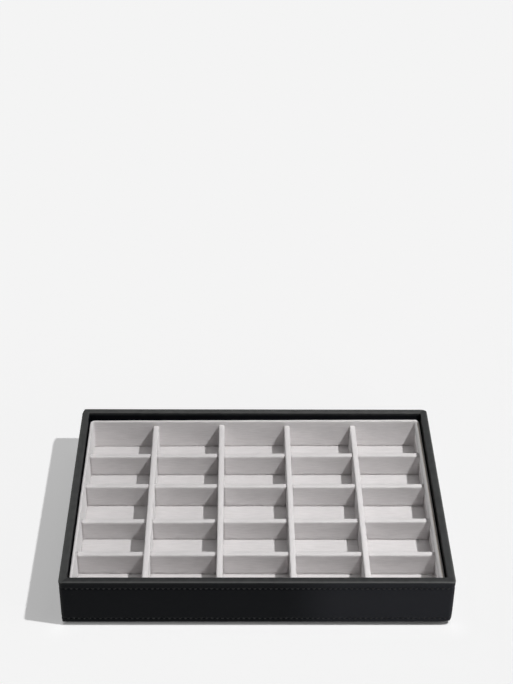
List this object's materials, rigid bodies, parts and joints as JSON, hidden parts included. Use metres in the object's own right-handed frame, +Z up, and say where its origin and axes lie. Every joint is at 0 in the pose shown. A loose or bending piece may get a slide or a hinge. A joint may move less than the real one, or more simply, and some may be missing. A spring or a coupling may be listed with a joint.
{
  "type": "jewelry tray",
  "caption": "Shallow stacking jewelry tray: a leather-wrapped box holding a velvet insert that is divided into equal open cells, on a stepped base.",
  "frame": {"origin": "centre of the underside, where the tray rests", "axes": "+X along the long side, to the right seen from the front; -Y out of the front wall; +Z up, out of the open top"},
  "size_m": [0.25, 0.18, 0.0376],
  "materials": {
    "black_leather": "black faux leather with a fine pebble grain, satin, tonal stitching",
    "grey_velvet": "short warm-grey velvet pile, matte with a soft sheen",
    "fibreboard": "raw medium-density fibreboard",
    "card": "grey board"
  },
  "bodies": {
    "root": {"base_board": "fibreboard", "cross_divider_cores_row1": "card", "cross_divider_cores_row2": "card", "cross_divider_cores_row3": "card", "cross_divider_cores_row4": "card", "cross_divider_velvet_row1_column1": "grey_velvet", "cross_divider_velvet_row1_column2": "grey_velvet", "cross_divider_velvet_row1_column3": "grey_velvet", "cross_divider_velvet_row1_column4": "grey_velvet", "cross_divider_velvet_row1_column5": "grey_velvet", "cross_divider_velvet_row2_column1": "grey_velvet", "cross_divider_velvet_row2_column2": "grey_velvet", "cross_divider_velvet_row2_column3": "grey_velvet", "cross_divider_velvet_row2_column4": "grey_velvet", "cross_divider_velvet_row2_column5": "grey_velvet", "cross_divider_velvet_row3_column1": "grey_velvet", "cross_divider_velvet_row3_column2": "grey_velvet", "cross_divider_velvet_row3_column3": "grey_velvet", "cross_divider_velvet_row3_column4": "grey_velvet", "cross_divider_velvet_row3_column5": "grey_velvet", "cross_divider_velvet_row4_column1": "grey_velvet", "cross_divider_velvet_row4_column2": "grey_velvet", "cross_divider_velvet_row4_column3": "grey_velvet", "cross_divider_velvet_row4_column4": "grey_velvet", "cross_divider_velvet_row4_column5": "grey_velvet", "floor_velvet": "grey_velvet", "insert_card": "card", "leather_wrap": "black_leather", "liner_card_back": "card", "liner_card_front": "card", "liner_card_left": "card", "liner_card_right": "card", "liner_velvet": "grey_velvet", "long_divider_core_1": "card", "long_divider_core_2": "card", "long_divider_core_3": "card", "long_divider_core_4": "card", "long_divider_velvet_1": "grey_velvet", "long_divider_velvet_2": "grey_velvet", "long_divider_velvet_3": "grey_velvet", "long_divider_velvet_4": "grey_velvet", "plinth_board": "fibreboard", "plinth_velvet": "grey_velvet", "wall_board_back": "fibreboard", "wall_board_front": "fibreboard", "wall_board_left": "fibreboard", "wall_board_right": "fibreboard"}
  },
  "joints": []
}
